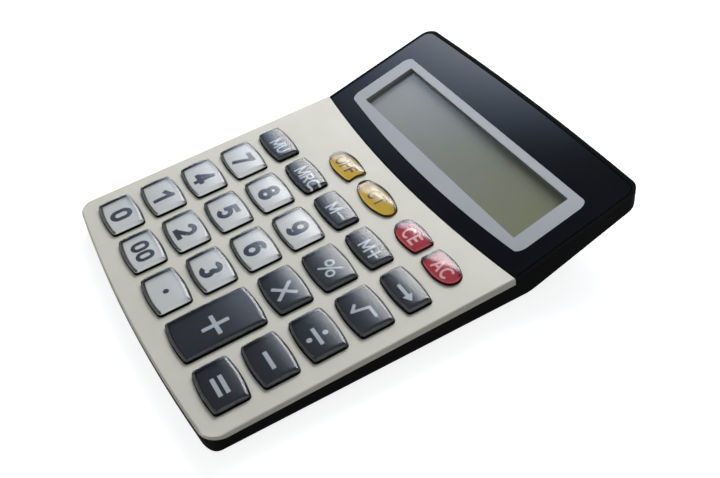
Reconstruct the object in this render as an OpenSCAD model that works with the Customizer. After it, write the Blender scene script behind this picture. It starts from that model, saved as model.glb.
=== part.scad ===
// Desk calculator with a tilted display head, in millimetres.
// X runs to the right, Y from the user to the display, Z up.
// The origin is on the table, under the middle of the case.

/* [Case] */
// overall width
body_w = 150; // [140:1:170]
// overall length
body_l = 191.5; // [189:0.5:200]
// radius of the bowed front edge
front_r = 720; // [400:10:2000]
// radius of the bowed rear edge
rear_r = 1700; // [800:50:4000]
// plan radius of the front corners
front_corner = 8.5; // [5:0.5:14]
// plan radius of the rear corners
rear_corner = 6; // [4:0.5:10]
// side wall of the case and skirt of the key plate
wall = 2; // [1.6:0.1:2.6]
// floor of the case
floor_t = 1.8; // [1.4:0.1:2.2]
// rounding of the lower edge of the case
edge_r = 2.5; // [1.5:0.1:3]
// height of the rubber feet below the floor
foot_h = 1.5; // [1:0.1:3]
// radius of a rubber foot
foot_r = 5; // [3:0.5:7]
// distance from the front edge to the bend of the underside
bend_y = 133; // [128:0.5:138]
// slope of the underside of the head against the table
under_tilt = 19.2; // [17:0.1:21]

/* [Key plate] */
// slope of the key plate against the table
deck_tilt = 1.75; // [1:0.05:2.5]
// depth of the case under the first key row
row0_depth = 9; // [8.6:0.1:11]
// distance from the front edge to the first key row
front_margin = 17.7; // [15:0.1:20]
// thickness of the key plate
skin = 1.5; // [1.2:0.1:1.6]
// side height of the key plate at its front
skirt_front = 1.9; // [1.7:0.1:2.2]
// side height of the key plate at its rear
skirt_rear = 3.1; // [2.6:0.1:3.4]
// rounding of the upper edge of the key plate
plate_edge = 0.9; // [0.4:0.1:1.2]
// radius of the arc between key plate and head
arc_r = 540; // [400:10:900]
// distance from the first key row to the arc at the middle
arc_y = 108; // [106:0.2:109]
// shadow gap between outer pieces
seam = 0.35; // [0.2:0.05:0.5]

/* [Head] */
// slope of the display face against the key plate
head_tilt = 12.9; // [11:0.1:14]
// distance from the first key row to the display opening
lcd_y = 124.6; // [123:0.1:126]
// height of the display opening above the key plate
lcd_z = 1.73; // [1.2:0.05:2.2]
// width of the display opening
lcd_w = 116.5; // [100:0.5:124]
// height of the display opening
lcd_h = 26.7; // [20:0.1:28]
// thickness of the head cover
cover_t = 1.8; // [1.4:0.1:2]
// rim of the case beside the head cover
rim = 1.3; // [0.8:0.1:1.5]
// thickness of the clear window
window_t = 1; // [0.6:0.1:1.2]
// thickness of the liquid-crystal cell
cell_t = 1.6; // [1.2:0.1:2]
// glass margin around the display opening
glass_margin = 2; // [1:0.1:2.4]

/* [Keys] */
// distance between key columns
col_pitch = 27.7; // [27:0.1:28]
// distance between the lower key rows
row_pitch = 19.6; // [19:0.1:20]
// step to the memory row
memory_step = 18; // [17.4:0.1:18.4]
// step from the memory row to the row of shaped keys
shaped_step = 17.5; // [16.8:0.1:18]
// key width
key_w = 22.2; // [20:0.1:22.6]
// key height at the middle
key_h = 15.9; // [14:0.1:16.3]
// height of a memory key at the middle
memory_h = 12.2; // [10:0.1:12.4]
// height of a shaped key
shaped_h = 11; // [9:0.1:11.6]
// corner radius of a key
key_corner = 1.5; // [0.8:0.1:2.4]
// how far the middle of a front or rear side stands out
key_bow = 0.85; // [0.4:0.05:1.2]
// key top above the plate
key_top = 2.5; // [2:0.1:3.2]
// rounding of the upper edge of a key
key_edge = 1.8; // [1:0.1:2.2]
// how far the crowned top of a key falls toward its front and rear
crown_drop = 0.55; // [0.3:0.05:0.8]
// key travel
travel = 1.2; // [0.8:0.1:1.3]
// gap between a key and its opening
key_gap = 0.35; // [0.3:0.05:0.5]
// width of the lip that holds a key under the plate
lip = 0.9; // [0.6:0.1:1]
// thickness of that lip
lip_t = 0.8; // [0.6:0.1:0.9]
// gap between that lip and the plate
lip_gap = 0.15; // [0.05:0.05:0.2]

/* [Inside] */
// height of a mat dome that is left when its key is down
dome_rest = 0.3; // [0.2:0.05:0.4]
// radius of a mat dome at its foot
dome_r = 4; // [3:0.1:4.2]
// thickness of the key mat
mat_t = 0.7; // [0.5:0.1:0.8]
// thickness of the circuit board
board_t = 1.2; // [1:0.1:1.4]
// half width of the circuit board
board_half = 66; // [64:0.5:66.5]
// radius of the battery cell
batt_r = 7.25; // [7:0.05:7.25]
// length of the battery cell
batt_l = 50.5; // [49:0.1:50.5]
// distance from the first key row to the battery cell
batt_y = 162; // [161.5:0.1:162.6]
// thickness of the battery door
door_t = 1.6; // [1.4:0.1:1.8]
// gap around moving and loose pieces
slack = 0.3; // [0.25:0.05:0.4]
// radius of a lead with its insulation
lead_r = 0.6; // [0.4:0.1:0.7]

/* [Hidden] */
$fn = 64;
eps = 0.01;
far = 60;
deck_y0 = -body_l / 2 + front_margin;
deck_z0 = foot_h + row0_depth;
bend_w = -body_l / 2 + bend_y;
memory_y = 3 * row_pitch + memory_step;
shaped_y = memory_y + shaped_step;
// levels below the key plate
lip_top = -skin - lip_gap;
lip_low = lip_top - lip_t;
dome_gap = 0.1;
dome_top = lip_low - dome_gap;
dome_h = travel + dome_rest;
mat_top = dome_top - dome_h;
board_top = mat_top - mat_t;
board_low = board_top - board_t;
mat_front = -12.5;
mat_rear = 102;
board_front = -14.5;
board_rear = 106.5;
// screw places on the plate: case screws beside the keys, board screws before and behind them
case_x = 70.3;
case_front = -7;
case_rear = 97;
case_joint = -5;
board_x = 1.5 * col_pitch;
board_screw_front = -12;
board_screw_rear = 104.2;
boss_r = 2.5;
boss_grow = 1;
screw_seat = 1.6;
board_boss_r = 2.1;
pilot_r = 0.9;
// depths of the screw holes in the plate, for case and board screws, and in the head cover
case_pilot = 4;
board_pilot = 3;
head_pilot = 3;
// outline of the head cover, along the display face from the front edge of its opening
cover_front = -(lcd_y - arc_y) / cos(head_tilt);
cover_reach = (body_l / 2 - deck_y0 - lcd_y) / cos(head_tilt);
head_screw_x = body_w / 2 - 11;
head_screw_s = cover_reach - 7;
head_joint = -3.6;
screw_r = 1.25;
screw_head_r = 2.4;
screw_head_h = 1.4;
small_r = 0.72;
small_head_r = 1.4;
small_head_h = 0.7;
// levels below the display face
window_low = -cover_t - window_t;
cell_low = window_low - cell_t;
holder_t = 0.9;
holder_wall = 1.2;
// battery bay, with room for spring and contact at the ends of the cell
bay_wall = 1.3;
end_room = 3.15;
bay_end = 3.4;
cavity_half = batt_l / 2 + end_room;
bay_half = cavity_half + bay_end;
batt_w = deck_y0 + batt_y;
batt_zc = foot_h + door_t + slack + batt_r + 0.2;
bay_r = batt_r + slack + bay_wall;
tongue = 1.1;
door_half = cavity_half + 0.5;
door_front = batt_w - batt_r - 1;

// points of the deck and of the display face, seen from the side of the case
function deck_wy(y, z) = deck_y0 + y * cos(deck_tilt) - z * sin(deck_tilt);
function deck_wz(y, z) = deck_z0 + y * sin(deck_tilt) + z * cos(deck_tilt);
function face_z(y) = lcd_z + (y - lcd_y) * tan(head_tilt);
// lower line of the plate skirt
plate_rear = arc_y + arc_r - sqrt(arc_r * arc_r - body_w * body_w / 4);
function skirt_z(y) =
    -skirt_front - (skirt_rear - skirt_front) * (y + front_margin) / (plate_rear + front_margin);
// radius of a bowed side that meets corner circles of radius r, m behind its middle
function bow_r(half, r, m) = ((half - r) * (half - r) + m * m - r * r) / (2 * (m - r));

// the tilted frames: key plate top, and display face at the front edge of its opening
module in_deck() {
    translate([0, deck_y0, deck_z0]) rotate([deck_tilt, 0, 0]) children();
}

module in_head() {
    in_deck() translate([0, lcd_y, lcd_z]) rotate([head_tilt, 0, 0]) children();
}

// side profile in Y and Z, made into a slab along X
module side_slab(half) {
    translate([-half, 0, 0]) rotate([90, 0, 90]) linear_extrude(height = 2 * half) children();
}

// front profile in X and Z, made into a slab along Y
module front_slab(y0, y1) {
    translate([0, y1, 0]) rotate([90, 0, 0]) linear_extrude(height = y1 - y0) children();
}

// one bowed end, standing out toward -Y: its middle at y0, its sides reaching back to y1
// its corner circles cross the bow by a hair instead of only touching it
corner_lead = 0.03;
module bowed_end(half, y0, y1, r, corner) {
    cx = half - corner;
    cy = y0 + r - sqrt((r - corner) * (r - corner) - cx * cx) - corner_lead;
    tx = cx * r / (r - corner);
    intersection() {
        translate([0, y0 + r]) circle(r = r, $fn = 720);
        translate([-tx, y0 - 1]) square([2 * tx, y1 - y0 + 1]);
    }
    translate([-half, cy]) square([2 * half, y1 - cy]);
    for (side = [-1, 1]) {
        translate([side * cx, cy]) circle(r = corner);
    }
}

// plan outline of the case, drawn in by an inset
module plan_2d(inset) {
    half = body_w / 2 - inset;
    bowed_end(half, -body_l / 2 + inset, eps, front_r - inset, front_corner - inset);
    mirror([0, 1]) bowed_end(half, -body_l / 2 + inset, eps, rear_r - inset, rear_corner - inset);
}

// a key outline with straight left and right sides and bowed front and rear sides
module barrel_2d(w, h, r, bow) {
    m = r + bow;
    big = bow_r(w / 2, r, m);
    bowed_end(w / 2, -h / 2, eps, big, r);
    mirror([0, 1]) bowed_end(w / 2, -h / 2, eps, big, r);
}

// a pointed oval of four arcs, drawn as two lenses and two end circles
module oval_2d(w, h, r) {
    big = bow_r(w / 2, r, h / 2);
    cx = w / 2 - r;
    tx = cx * big / (big - r);
    for (side = [-1, 1]) {
        intersection() {
            translate([0, side * (big - h / 2)]) circle(r = big, $fn = 180);
            translate([-tx, side > 0 ? -h : 0]) square([2 * tx, h]);
        }
    }
    for (side = [-1, 1]) {
        translate([side * (cx - corner_lead), 0]) rotate(90) circle(r = r + corner_lead);
    }
}

// a key outline with one round end, on the left, and one straight end
// the round end's radius is a little less than half the depth
end_ease = 1.2;
module d_2d(w, h, r, bow) {
    intersection() {
        oval_2d(w, h, h / 2 - end_ease);
        translate([-w, -h]) square([w + eps, 2 * h]);
    }
    intersection() {
        barrel_2d(w, h, r, bow);
        translate([0, -h]) square([w, 2 * h]);
    }
}

// shaped keys, grown by g: places and outlines
off_x = -23.2;
off_w = 20.6;
gt_x = 3.9;
gt_w = 25.6;
gt_end = 3.6;
ce_x = 31.9;
ac_x = 54.5;
d_w = 18.6;
nest = 4.8;

module gt_2d(g) {
    oval_2d(gt_w + 2 * g, shaped_h + 2 * g, gt_end + g);
}

module off_2d(g) {
    difference() {
        d_2d(off_w + 2 * g, shaped_h + 2 * g, key_corner + g, key_bow);
        translate([gt_x - off_x, 0]) gt_2d(nest - g);
    }
}

module ce_2d(g) {
    d_2d(d_w + 2 * g, shaped_h + 2 * g, key_corner + g, key_bow);
}

module ac_2d(g) {
    mirror([1, 0]) ce_2d(g);
}

// barrel keys: column, row middle and height of each
function col_x(i) = (i - 2) * col_pitch;
function row_y(j) = j < 4 ? j * row_pitch : memory_y;
function row_h(j) = j < 4 ? key_h : memory_h;
plus_y = row_pitch / 2;
plus_h = key_h + row_pitch;

module barrel_places() {
    for (i = [0:4]) {
        for (j = [0:4]) {
            if (!(i == 3 && j < 2)) {
                translate([col_x(i), row_y(j), 0]) barrel_opening(row_h(j));
            }
        }
    }
    translate([col_x(3), plus_y, 0]) barrel_opening(plus_h);
}

module barrel_opening(h) {
    translate([0, 0, -far / 2]) linear_extrude(height = far) {
        barrel_2d(key_w + 2 * key_gap, h + 2 * key_gap, key_corner + key_gap, key_bow);
    }
}

module shaped_opening() {
    translate([0, 0, -far / 2]) linear_extrude(height = far) children();
}

module key_openings() {
    barrel_places();
    translate([off_x, shaped_y, 0]) shaped_opening() off_2d(key_gap);
    translate([gt_x, shaped_y, 0]) shaped_opening() gt_2d(key_gap);
    translate([ce_x, shaped_y, 0]) shaped_opening() ce_2d(key_gap);
    translate([ac_x, shaped_y, 0]) shaped_opening() ac_2d(key_gap);
}

// middle of every key, for the mat domes
dome_places = concat(
    [for (i = [0:4]) for (j = [0:4]) if (!(i == 3 && j < 2)) [col_x(i), row_y(j)]],
    [[col_x(3), plus_y], [off_x, shaped_y], [gt_x, shaped_y], [ce_x, shaped_y], [ac_x, shaped_y]]
);

module case_spots() {
    for (side = [-1, 1]) {
        for (y = [case_front, case_rear]) {
            translate([side * case_x, y, 0]) children();
        }
    }
}

module board_spots() {
    for (side = [-1, 1]) {
        for (y = [board_screw_front, board_screw_rear]) {
            translate([side * board_x, y, 0]) children();
        }
    }
}

module head_spots() {
    for (side = [-1, 1]) {
        translate([side * head_screw_x, head_screw_s, 0]) children();
    }
}

// profile of a disc with a rounded edge, turned about its middle: low edge if low, else high edge
module disc_2d(r, z0, z1, round_r, low) {
    zc = low ? z0 + round_r : z1 - round_r;
    translate([0, z0]) square([r - round_r, z1 - z0]);
    translate([0, low ? zc : z0]) square([r, z1 - z0 - round_r]);
    translate([r - round_r, zc]) circle(r = round_r);
}

// a slab profile in X and Z with two rounded edges
module edge_2d(half, z0, z1, round_r, low) {
    zc = low ? z0 + round_r : z1 - round_r;
    translate([round_r - half, z0]) square([2 * (half - round_r), z1 - z0]);
    translate([-half, low ? zc : z0]) square([2 * half, z1 - z0 - round_r]);
    for (side = [-1, 1]) {
        translate([side * (half - round_r), zc]) circle(r = round_r);
    }
}

// outer form of the case before it is hollowed
module case_form() {
    rim_y = plate_rear + seam;
    intersection() {
        translate([0, 0, foot_h]) linear_extrude(height = far) plan_2d(0);
        front_slab(-body_l, body_l) edge_2d(body_w / 2, foot_h, foot_h + far, edge_r, true);
        translate([0, front_r - body_l / 2, 0]) rotate_extrude($fn = 720) {
            disc_2d(front_r, foot_h, foot_h + far, edge_r, true);
        }
        side_slab(body_w) polygon([
            [-body_l, foot_h],
            [bend_w, foot_h],
            [body_l, foot_h + (body_l - bend_w) * tan(under_tilt)],
            [deck_wy(body_l + far, face_z(body_l + far)), deck_wz(body_l + far, face_z(body_l + far))],
            [deck_wy(rim_y, face_z(rim_y)), deck_wz(rim_y, face_z(rim_y))],
            [deck_wy(rim_y, skirt_z(rim_y) - seam), deck_wz(rim_y, skirt_z(rim_y) - seam)],
            [deck_wy(-far, skirt_z(-far) - seam), deck_wz(-far, skirt_z(-far) - seam)]
        ]);
    }
}

// room inside the case
module case_room() {
    low = foot_h + floor_t;
    slope_low = foot_h + floor_t / cos(under_tilt);
    bend_in = bend_w - (slope_low - low) / tan(under_tilt);
    intersection() {
        translate([0, 0, foot_h]) linear_extrude(height = far) plan_2d(wall);
        side_slab(body_w) polygon([
            [-body_l, low],
            [bend_in, low],
            [body_l, slope_low + (body_l - bend_w) * tan(under_tilt)],
            [body_l, far * 3],
            [-body_l, far * 3]
        ]);
    }
}

// battery bay: a round roof over the cell and straight walls under it
module bay_form() {
    translate([-bay_half, batt_w, batt_zc]) rotate([0, 90, 0]) cylinder(r = bay_r, h = 2 * bay_half);
    translate([-bay_half, batt_w - bay_r, foot_h]) cube([2 * bay_half, 2 * bay_r, batt_zc - foot_h]);
}

module bay_room() {
    r = batt_r + slack;
    translate([-cavity_half, batt_w, batt_zc]) rotate([0, 90, 0]) cylinder(r = r, h = 2 * cavity_half);
    translate([-cavity_half, batt_w - r, foot_h + door_t]) {
        cube([2 * cavity_half, 2 * r, batt_zc - foot_h - door_t]);
    }
    door_slot();
    for (side = [-1, 1]) {
        translate([side * lead_x, lead_exit, batt_zc]) cylinder(r = lead_r + slack, h = bay_r + roof_cut);
    }
}

// the door runs in a stepped slot that is open at the rear
module door_slot() {
    front_slab(door_front - slack, body_l) {
        translate([-door_half - slack, foot_h - eps]) square([2 * (door_half + slack), door_t]);
        translate([-door_half - tongue - slack, foot_h + door_t / 2]) {
            square([2 * (door_half + tongue + slack), door_t / 2 + slack]);
        }
    }
}

module bottom_case() {
    color([0.06, 0.06, 0.065]) {
        difference() {
            union() {
                difference() {
                    case_form();
                    case_room();
                }
                intersection() {
                    union() {
                        in_deck() case_spots() translate([0, 0, case_joint - far]) case_boss();
                        in_head() head_spots() translate([0, 0, head_joint - far]) case_boss();
                    }
                    case_form();
                }
                bay_form();
            }
            bay_room();
            in_deck() case_spots() screw_hole(case_joint);
            in_head() head_spots() screw_hole(head_joint);
            in_head() translate([0, 0, -cover_t]) linear_extrude(height = far) cover_2d(-seam);
            for (spot = feet_spots) {
                translate([spot[0], spot[1], foot_h - eps]) {
                    cylinder(r = foot_r + foot_fit, h = foot_sink + eps);
                }
            }
        }
    }
}

// post under a screw joint, and the stepped hole through it
module case_boss() {
    cylinder(r = boss_r + boss_grow, h = far);
}

module screw_hole(joint) {
    translate([0, 0, -far]) cylinder(r = screw_r + slack, h = far);
    translate([0, 0, joint - screw_seat - far]) cylinder(r = screw_head_r + slack, h = far);
}

// plan outline of the head cover on the display face, drawn in by an inset
module cover_2d(inset) {
    edge = rim + seam + inset;
    intersection() {
        translate([0, cover_front + seam + inset + arc_r]) circle(r = arc_r, $fn = 720);
        mirror([0, 1]) {
            bowed_end(body_w / 2 - edge, edge - cover_reach, -cover_front, rear_r, rear_corner - edge);
        }
    }
}

module keypad_plate() {
    color([0.86, 0.84, 0.78]) in_deck() {
        difference() {
            union() {
                difference() {
                    plate_form();
                    plate_room();
                }
                intersection() {
                    plate_form();
                    plate_rear_skirt();
                }
                case_spots() plate_boss(boss_r, case_joint, -skin);
                board_spots() plate_boss(board_boss_r, board_top, -skin);
            }
            key_openings();
            case_spots() translate([0, 0, case_joint - eps]) cylinder(r = pilot_r, h = case_pilot);
            board_spots() translate([0, 0, board_top - eps]) cylinder(r = small_r, h = board_pilot);
        }
    }
}

// post on the underside of a plate, from z0 up into it at z1
module plate_boss(r, z0, z1) {
    translate([0, 0, z0]) cylinder(r = r, h = z1 - z0 + eps);
}

// outer form of the key plate: the case outline cut by the arc, with a rounded upper edge
module plate_form() {
    intersection() {
        translate([0, -deck_y0, -far]) linear_extrude(height = 2 * far) plan_2d(0);
        front_slab(-body_l, body_l) edge_2d(body_w / 2, -far, 0, plate_edge, false);
        translate([0, front_r - front_margin, 0]) rotate_extrude($fn = 720) {
            disc_2d(front_r, -far, 0, plate_edge, false);
        }
        side_slab(body_w) polygon([
            [-far, skirt_z(-far)],
            [body_l, skirt_z(body_l)],
            [body_l, far],
            [-far, far]
        ]);
        translate([0, 0, -far]) linear_extrude(height = 2 * far) arc_cut(0);
    }
}

// everything in front of the arc
module arc_cut(inset) {
    difference() {
        translate([-body_w, -far]) square([2 * body_w, body_l]);
        translate([0, arc_y + arc_r]) circle(r = arc_r + inset, $fn = 720);
    }
}

module plate_room() {
    translate([0, -deck_y0, -skin - far]) linear_extrude(height = far) plan_2d(wall);
}

module plate_rear_skirt() {
    translate([0, 0, -far]) linear_extrude(height = far) intersection() {
        translate([0, -deck_y0]) plan_2d(eps);
        difference() {
            translate([-body_w, -far]) square([2 * body_w, body_l]);
            arc_cut(wall);
        }
    }
}

// head cover with its opening and the fine groove that follows its bowed front
groove_w = 0.4;
groove_in = 0.7;
groove_d = 0.5;
groove_y = cover_front + seam + groove_in;
module head_cover() {
    color([0.04, 0.04, 0.045]) in_head() {
        difference() {
            union() {
                translate([0, 0, -cover_t]) linear_extrude(height = cover_t) cover_2d(0);
                head_spots() plate_boss(boss_r, head_joint, -cover_t);
            }
            translate([-lcd_w / 2, 0, -far]) cube([lcd_w, lcd_h, 2 * far]);
            translate([0, 0, -groove_d]) linear_extrude(height = far) difference() {
                translate([0, groove_y + arc_r]) circle(r = arc_r, $fn = 720);
                translate([0, groove_y + groove_w + arc_r]) circle(r = arc_r, $fn = 720);
                translate([-body_w, 0]) square([2 * body_w, 3 * arc_r]);
            }
            head_spots() translate([0, 0, head_joint - eps]) cylinder(r = pilot_r, h = head_pilot);
        }
    }
}

// a plate in the head that overlaps the display opening by a margin
module display_plate(margin, z0, t) {
    translate([-lcd_w / 2 - margin, -margin, z0]) cube([lcd_w + 2 * margin, lcd_h + 2 * margin, t]);
}

module display_window() {
    color([0.8, 0.85, 0.85, 0.4]) in_head() display_plate(glass_margin, window_low, window_t);
}

module lcd_cell() {
    color([0.45, 0.47, 0.4]) in_head() display_plate(glass_margin, cell_low, cell_t);
}

// tray that presses window and cell against the head cover, open where ribbon and leads pass
ribbon_half = 30;
ribbon_t = 0.25;
holder_lap = 3;
module lcd_holder() {
    outer = glass_margin + slack + holder_wall;
    pass = max(ribbon_half, lead_x + 2 * lead_r) + slack;
    color([0.75, 0.75, 0.73]) in_head() {
        difference() {
            display_plate(outer, cell_low - holder_t, -cover_t - cell_low + holder_t);
            display_plate(glass_margin + slack, cell_low, far);
            display_plate(-holder_lap, -far, 2 * far);
            translate([-pass, -far, cell_low - holder_t - eps]) {
                cube([2 * pass, 2 * far, holder_t + eps]);
            }
        }
    }
}

// flat ribbon bent from the underside of the cell to the top of the board
ribbon_grip = 2;
ribbon_run = 4;
ribbon_drop = 1.2;
module lcd_ribbon() {
    y_cell = lcd_y - glass_margin * cos(head_tilt) - cell_low * sin(head_tilt);
    z_cell = lcd_z - glass_margin * sin(head_tilt) + cell_low * cos(head_tilt);
    y_end = mat_rear + 1;
    color([0.8, 0.55, 0.2]) in_deck() side_slab(ribbon_half) polygon([
        [y_end, board_top],
        [board_rear, board_top],
        [y_cell - ribbon_run, z_cell - ribbon_t - ribbon_drop],
        [y_cell + ribbon_grip, z_cell - ribbon_t + ribbon_grip * tan(head_tilt)],
        [y_cell + ribbon_grip, z_cell + ribbon_grip * tan(head_tilt)],
        [y_cell - ribbon_run, z_cell - ribbon_drop],
        [board_rear, board_top + ribbon_t],
        [y_end, board_top + ribbon_t]
    ]);
}

// a sheet between the walls of the case
module inside_2d(half, y0, y1) {
    intersection() {
        translate([0, -deck_y0]) plan_2d(wall + 2 * slack);
        translate([-half, y0]) square([2 * half, y1 - y0]);
    }
}

// silicone sheet with a hollow dome under every key
dome_top_part = 0.55;
dome_tip_r = dome_r * dome_top_part;
dome_wall = 0.4;
dome_room_part = 0.6;
dome_room = mat_t + dome_room_part * dome_h;
module keypad_mat() {
    color([0.5, 0.5, 0.52]) in_deck() {
        difference() {
            union() {
                translate([0, 0, board_top]) linear_extrude(height = mat_t) {
                    inside_2d(board_half - 1, mat_front, mat_rear);
                }
                for (p = dome_places) {
                    translate([p[0], p[1], mat_top - eps]) {
                        cylinder(r1 = dome_r, r2 = dome_tip_r, h = dome_h + eps);
                    }
                }
            }
            for (p = dome_places) {
                translate([p[0], p[1], board_top - eps]) {
                    cylinder(r1 = dome_r - dome_wall, r2 = dome_tip_r - dome_wall, h = dome_room);
                }
            }
            board_spots() translate([0, 0, -far]) cylinder(r = board_boss_r + slack, h = far);
        }
    }
}

module circuit_board() {
    color([0.16, 0.35, 0.2]) in_deck() {
        difference() {
            translate([0, 0, board_low]) linear_extrude(height = board_t) {
                inside_2d(board_half, board_front, board_rear);
            }
            board_spots() translate([0, 0, -far]) cylinder(r = small_r + slack, h = far);
            for (side = [-1, 1]) {
                translate([side * lead_x, board_rear - lead_in, -far]) cylinder(r = lead_r, h = far);
            }
        }
    }
}

// resin blob over the chip, under the board
chip_r = 7;
chip_h = 1.1;
chip_y = 60;
module chip() {
    ball = (chip_r * chip_r + chip_h * chip_h) / (2 * chip_h);
    color([0.05, 0.05, 0.05]) in_deck() translate([0, chip_y, board_low]) intersection() {
        translate([0, 0, ball - chip_h]) sphere(r = ball, $fn = 240);
        translate([0, 0, -chip_h - 1]) cylinder(r = chip_r + 1, h = chip_h + 1);
    }
}

// screw along +Z with a cross slot in its head, cut to a share of the head's radius and height
slot_w = 0.6;
slot_reach = 0.6;
slot_depth = 0.6;
module screw(r, head_r, head_h, l) {
    difference() {
        union() {
            cylinder(r = r, h = l);
            translate([0, 0, -head_h]) cylinder(r = head_r, h = head_h);
        }
        for (turn = [0, 90]) {
            rotate([0, 0, turn]) translate([-head_r * slot_reach, -slot_w / 2, -head_h - eps]) {
                cube([2 * head_r * slot_reach, slot_w, head_h * slot_depth]);
            }
        }
    }
}

// length of thread in the plate
board_grip = 1.8;
module board_screws() {
    color([0.7, 0.7, 0.72]) in_deck() board_spots() translate([0, 0, board_low]) {
        screw(small_r, small_head_r, small_head_h, board_t + board_grip);
    }
}

// length of thread in the plate and in the head cover
case_grip = 2.6;
head_grip = 2;
module case_screw(grip) {
    screw(pilot_r, screw_head_r, screw_head_h, screw_seat + grip);
}

module case_screws() {
    color([0.6, 0.6, 0.62]) {
        in_deck() case_spots() translate([0, 0, case_joint - screw_seat]) case_screw(case_grip);
        in_head() head_spots() translate([0, 0, head_joint - screw_seat]) case_screw(head_grip);
    }
}

// door with a tongue along each side and finger ridges
ridges = 5;
ridge_step = 1.6;
ridge_d = 0.5;
ridge_in = 1;
ridge_half = door_half / 3;
module battery_door() {
    rear = batt_w + bay_r;
    color([0.07, 0.07, 0.075]) difference() {
        union() {
            front_slab(door_front, rear) {
                translate([-door_half, foot_h]) square([2 * door_half, door_t]);
            }
            front_slab(door_front, rear) {
                translate([-door_half - tongue, foot_h + door_t / 2]) {
                    square([2 * (door_half + tongue), door_t / 2]);
                }
            }
        }
        for (k = [1:ridges]) {
            translate([-ridge_half, rear - ridge_in - ridge_step * k, foot_h - eps]) {
                cube([2 * ridge_half, ridge_step / 2, ridge_d]);
            }
        }
    }
}

// AA cell with the button of its far end
nub = 1.2;
nub_r = 2.7;
module battery_cell() {
    color([0.2, 0.35, 0.6]) translate([0, batt_w, batt_zc]) rotate([0, 90, 0]) {
        translate([0, 0, -batt_l / 2]) cylinder(r = batt_r, h = batt_l - nub);
        translate([0, 0, batt_l / 2 - nub - eps]) cylinder(r = nub_r, h = nub + eps);
    }
}

// coil spring at the flat end of the cell
turns = 4;
steps = 16;
ring = 6;
wire_r = 0.35;
coil_r = 4.4;
coil_draw = 1.6;
module battery_spring() {
    z0 = wire_r;
    z1 = cavity_half - batt_l / 2 - wire_r;
    n = turns * steps;
    points = [
        for (i = [0:n]) for (k = [0:ring - 1]) coil_point(i / n, i * 360 / steps, k * 360 / ring, z0, z1)
    ];
    sides = [for (i = [0:n - 1]) for (k = [0:ring - 1]) [
        i * ring + k,
        i * ring + (k + 1) % ring,
        (i + 1) * ring + (k + 1) % ring,
        (i + 1) * ring + k
    ]];
    ends = [[for (k = [0:ring - 1]) ring - 1 - k], [for (k = [0:ring - 1]) n * ring + k]];
    color([0.72, 0.72, 0.7]) translate([-cavity_half, batt_w, batt_zc]) rotate([0, 90, 0]) {
        polyhedron(points = points, faces = concat(sides, ends), convexity = 10);
    }
}

// point on the wire: part of the way t, angle a along the coil, angle b around the wire
function coil_point(t, a, b, z0, z1) =
    let (r = coil_r - coil_draw * t + wire_r * cos(b))
    [r * cos(a), r * sin(a), z0 + (z1 - z0) * t + wire_r * sin(b)];

// plate at the button end of the cell, with a tab for its lead
contact_t = 0.5;
contact_half = 4;
tab_half = 1.5;
tab_past = 1;
module battery_contact() {
    tab_front = lead_exit - tab_past;
    tab_l = cavity_half - batt_l / 2 - contact_t;
    color([0.75, 0.72, 0.62]) {
        translate([batt_l / 2, batt_w - contact_half, batt_zc - contact_half]) {
            cube([contact_t, 2 * contact_half, 2 * contact_half]);
        }
        translate([batt_l / 2 + contact_t - eps, tab_front, batt_zc - tab_half]) {
            cube([tab_l + eps, batt_w + tab_half - tab_front, 2 * tab_half]);
        }
    }
}

// leads: from the bay up through its roof, down along the sloping floor, up to the board
lead_end = 1.5;
lead_front = 3.4;
lead_clear = 0.4;
lead_x = cavity_half - lead_end;
lead_exit = batt_w - lead_front;
lead_over = lead_r + lead_clear;
lead_rise = 1.9;
lead_fall = 3.6;
lead_turn = 3;
lead_in = 2;
roof_cut = 5;
// each stretch is a hair thinner than the last, a ball covers each bend, a bare end goes through the board
lead_taper = 0.02;
lead_ball = 1.2;
lead_core = 0.6;
function slope_z(y) = foot_h + floor_t / cos(under_tilt) + (y - bend_w) * tan(under_tilt);
module lead(side, start) {
    low = lead_exit - lead_fall;
    turn = bend_w + lead_turn;
    path = [
        [lead_exit, start],
        [lead_exit, slope_z(lead_exit) + lead_rise],
        [low, slope_z(low) + lead_over],
        [turn, slope_z(turn) + lead_over],
        [deck_wy(board_rear - lead_in, board_low), deck_wz(board_rear - lead_in, board_low) - lead_r]
    ];
    translate([side * lead_x, 0, 0]) {
        for (k = [0:3]) {
            link(path[k], path[k + 1], lead_r - lead_taper * k);
        }
        for (k = [1:3]) {
            translate([0, path[k][0], path[k][1]]) sphere(r = lead_r * lead_ball, $fn = 32);
        }
        translate([0, path[4][0], path[4][1]]) cylinder(r = lead_r * lead_core, h = board_t);
    }
}

// straight stretch between two points of the side view
module link(a, b, r) {
    d = b - a;
    translate([0, a[0], a[1]]) rotate([atan2(-d[0], d[1]), 0, 0]) cylinder(r = r, h = norm(d));
}

module lead_red() {
    color([0.7, 0.08, 0.06]) lead(1, batt_zc + tab_half);
}

module lead_black() {
    color([0.05, 0.05, 0.05]) lead(-1, batt_zc + coil_r + wire_r);
}

// feet pressed into shallow seats in the floor
foot_sink = 0.6;
foot_fit = 0.2;
foot_side_in = 17;
foot_front_in = 15.75;
foot_rear_in = 11.25;
foot_x = body_w / 2 - foot_side_in;
foot_front = foot_front_in - body_l / 2;
foot_rear = bend_w - foot_rear_in;
feet_spots = [[-foot_x, foot_front], [foot_x, foot_front], [-foot_x, foot_rear], [foot_x, foot_rear]];
module rubber_feet() {
    color([0.1, 0.1, 0.1]) for (spot = feet_spots) {
        translate([spot[0], spot[1], 0]) cylinder(r = foot_r, h = foot_h + foot_sink);
    }
}

// a barrel key: crowned top, edges rounded along the bow, lip below the plate, hollow with a plunger
module barrel_key(x, y, h) {
    in_deck() translate([x, y, 0]) difference() {
        union() {
            barrel_body(h);
            key_lip(key_w, h);
        }
        key_hollow(key_w, h);
    }
}

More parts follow.
